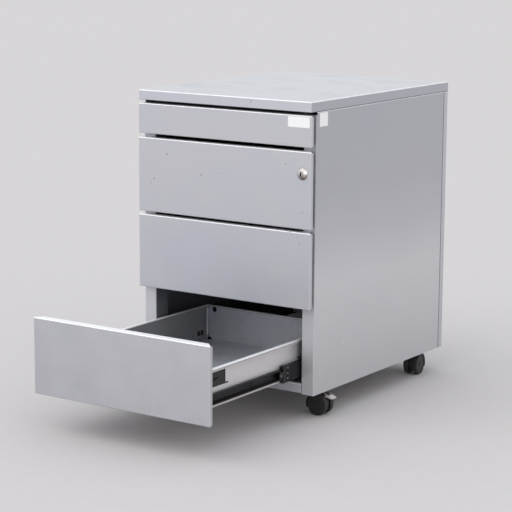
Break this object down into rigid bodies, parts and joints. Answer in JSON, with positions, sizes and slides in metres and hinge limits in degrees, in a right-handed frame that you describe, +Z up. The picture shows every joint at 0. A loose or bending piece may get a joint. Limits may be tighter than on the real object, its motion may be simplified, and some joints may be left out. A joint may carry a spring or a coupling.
{
  "type": "mobile drawer pedestal",
  "caption": "Folded sheet-steel drawer cabinet under a capping cover, on swivelling castors, with drawers on telescopic slides, a front lock and the bottom drawer standing open.",
  "frame": {"origin": "on the floor under the middle of the whole outline, with the bottom drawer standing open", "axes": "+Z up; -Y is the way the drawers open; +X is to the right of someone facing the drawers"},
  "size_m": [0.4198, 0.8434, 0.611],
  "materials": {
    "lacquer": "fine satin silver-grey lacquer",
    "cover_lacquer": "light satin silver-grey lacquer",
    "zinc": "bright zinc plated",
    "black_steel": "semi-gloss black",
    "nickel": "nickel plated",
    "black_plastic": "moulded, matt",
    "castor_plastic": "moulded, satin",
    "wheel_plastic": "moulded, satin",
    "lever_plastic": "moulded, satin"
  },
  "bodies": {
    "cabinet": {"top_cover": "cover_lacquer", "side_panel_left": "lacquer", "side_panel_right": "lacquer", "back_panel": "lacquer", "base_pan": "lacquer", "top_rail": "lacquer", "slide_posts": "zinc", "cabinet_slides": "black_steel", "lock_barrel": "nickel", "lock_guides": "black_plastic", "castor_mounts": "zinc"},
    "middle_1": {"middle_slides_1": "black_steel", "slide_cages_1": "black_plastic", "slide_balls_1": "zinc"},
    "middle_2": {"middle_slides_2": "black_steel", "slide_cages_2": "black_plastic", "slide_balls_2": "zinc"},
    "middle_3": {"middle_slides_3": "black_steel", "slide_cages_3": "black_plastic", "slide_balls_3": "zinc"},
    "middle_4": {"middle_slides_4": "black_steel", "slide_cages_4": "black_plastic", "slide_balls_4": "zinc"},
    "drawer_1": {"drawer_front_1": "lacquer", "drawer_box_1": "lacquer", "drawer_slides_1": "black_steel"},
    "drawer_2": {"drawer_front_2": "lacquer", "drawer_box_2": "lacquer", "drawer_slides_2": "black_steel", "front_brackets_2": "black_plastic"},
    "drawer_3": {"drawer_front_3": "lacquer", "drawer_box_3": "lacquer", "drawer_slides_3": "black_steel", "front_brackets_3": "black_plastic"},
    "drawer_4": {"drawer_front_4": "lacquer", "drawer_box_4": "lacquer", "drawer_slides_4": "black_steel", "front_brackets_4": "black_plastic"},
    "lock_plug": {"lock_plug": "nickel", "lock_cam": "zinc"},
    "lock_bar": {"lock_bar": "zinc"},
    "castor_fl": {"castor_hood_fl": "castor_plastic", "castor_axle_fl": "zinc"},
    "wheel_a_fl": {"wheel_a_fl": "wheel_plastic"},
    "wheel_b_fl": {"wheel_b_fl": "wheel_plastic"},
    "castor_fr": {"castor_hood_fr": "castor_plastic", "castor_axle_fr": "zinc"},
    "wheel_a_fr": {"wheel_a_fr": "wheel_plastic"},
    "wheel_b_fr": {"wheel_b_fr": "wheel_plastic"},
    "castor_rl": {"castor_hood_rl": "castor_plastic", "castor_axle_rl": "zinc"},
    "wheel_a_rl": {"wheel_a_rl": "wheel_plastic"},
    "wheel_b_rl": {"wheel_b_rl": "wheel_plastic"},
    "castor_rr": {"castor_hood_rr": "castor_plastic", "castor_axle_rr": "zinc"},
    "wheel_a_rr": {"wheel_a_rr": "wheel_plastic"},
    "wheel_b_rr": {"wheel_b_rr": "wheel_plastic"},
    "brake_fl": {"brake_lever_fl": "lever_plastic"},
    "brake_fr": {"brake_lever_fr": "lever_plastic"}
  },
  "joints": [
    {"name": "middle_slide_1", "type": "slide", "parent": "cabinet", "child": "middle_1", "axis": [0, -1, 0], "range_m": [0, 0.25]},
    {"name": "drawer_slide_1", "type": "slide", "parent": "middle_1", "child": "drawer_1", "axis": [0, -1, 0], "range_m": [0, 0.25]},
    {"name": "middle_slide_2", "type": "slide", "parent": "cabinet", "child": "middle_2", "axis": [0, -1, 0], "range_m": [0, 0.25]},
    {"name": "drawer_slide_2", "type": "slide", "parent": "middle_2", "child": "drawer_2", "axis": [0, -1, 0], "range_m": [0, 0.25]},
    {"name": "middle_slide_3", "type": "slide", "parent": "cabinet", "child": "middle_3", "axis": [0, -1, 0], "range_m": [0, 0.25]},
    {"name": "drawer_slide_3", "type": "slide", "parent": "middle_3", "child": "drawer_3", "axis": [0, -1, 0], "range_m": [0, 0.25]},
    {"name": "middle_slide_4", "type": "slide", "parent": "cabinet", "child": "middle_4", "axis": [0, -1, 0], "range_m": [-0.0694, 0.1806]},
    {"name": "drawer_slide_4", "type": "slide", "parent": "middle_4", "child": "drawer_4", "axis": [0, -1, 0], "range_m": [-0.25, 0]},
    {"name": "lock_turn", "type": "hinge", "parent": "cabinet", "child": "lock_plug", "pos_m": [0.1816, -0.1023, 0.4766], "axis": [0, -1, 0], "range_deg": [0, 90]},
    {"name": "lock_bar_lift", "type": "slide", "parent": "cabinet", "child": "lock_bar", "axis": [0, 0, 1], "range_m": [0, 0.00989]},
    {"name": "swivel_fl", "type": "hinge", "parent": "cabinet", "child": "castor_fl", "pos_m": [-0.167, -0.0243, 0.05], "axis": [0, 0, 1], "continuous": true},
    {"name": "spin_a_fl", "type": "hinge", "parent": "castor_fl", "child": "wheel_a_fl", "pos_m": [-0.179, -0.0243, 0.021], "axis": [0, 1, 0], "continuous": true},
    {"name": "spin_b_fl", "type": "hinge", "parent": "castor_fl", "child": "wheel_b_fl", "pos_m": [-0.179, -0.0243, 0.021], "axis": [0, 1, 0], "continuous": true},
    {"name": "swivel_fr", "type": "hinge", "parent": "cabinet", "child": "castor_fr", "pos_m": [0.167, -0.0243, 0.05], "axis": [0, 0, 1], "continuous": true},
    {"name": "spin_a_fr", "type": "hinge", "parent": "castor_fr", "child": "wheel_a_fr", "pos_m": [0.179, -0.0243, 0.021], "axis": [0, 1, 0], "continuous": true},
    {"name": "spin_b_fr", "type": "hinge", "parent": "castor_fr", "child": "wheel_b_fr", "pos_m": [0.179, -0.0243, 0.021], "axis": [0, 1, 0], "continuous": true},
    {"name": "swivel_rl", "type": "hinge", "parent": "cabinet", "child": "castor_rl", "pos_m": [-0.167, 0.3717, 0.05], "axis": [0, 0, 1], "continuous": true},
    {"name": "spin_a_rl", "type": "hinge", "parent": "castor_rl", "child": "wheel_a_rl", "pos_m": [-0.16825, 0.35977, 0.021], "axis": [-0.9945, 0.1045, 0], "continuous": true},
    {"name": "spin_b_rl", "type": "hinge", "parent": "castor_rl", "child": "wheel_b_rl", "pos_m": [-0.16825, 0.35977, 0.021], "axis": [-0.9945, 0.1045, 0], "continuous": true},
    {"name": "swivel_rr", "type": "hinge", "parent": "cabinet", "child": "castor_rr", "pos_m": [0.167, 0.3717, 0.05], "axis": [0, 0, 1], "continuous": true},
    {"name": "spin_a_rr", "type": "hinge", "parent": "castor_rr", "child": "wheel_a_rr", "pos_m": [0.16825, 0.35977, 0.021], "axis": [0.9945, 0.1045, 0], "continuous": true},
    {"name": "spin_b_rr", "type": "hinge", "parent": "castor_rr", "child": "wheel_b_rr", "pos_m": [0.16825, 0.35977, 0.021], "axis": [0.9945, 0.1045, 0], "continuous": true},
    {"name": "brake_press_fl", "type": "hinge", "parent": "castor_fl", "child": "brake_fl", "pos_m": [-0.1955, -0.0243, 0.03952], "axis": [0, -1, 0], "range_deg": [0, 12]},
    {"name": "brake_press_fr", "type": "hinge", "parent": "castor_fr", "child": "brake_fr", "pos_m": [0.1955, -0.0243, 0.03952], "axis": [0, 1, 0], "range_deg": [0, 12]}
  ],
  "couplings": [
    {"joint": "lock_turn", "follows": "lock_bar_lift", "rad_per_m": 158.7}
  ]
}
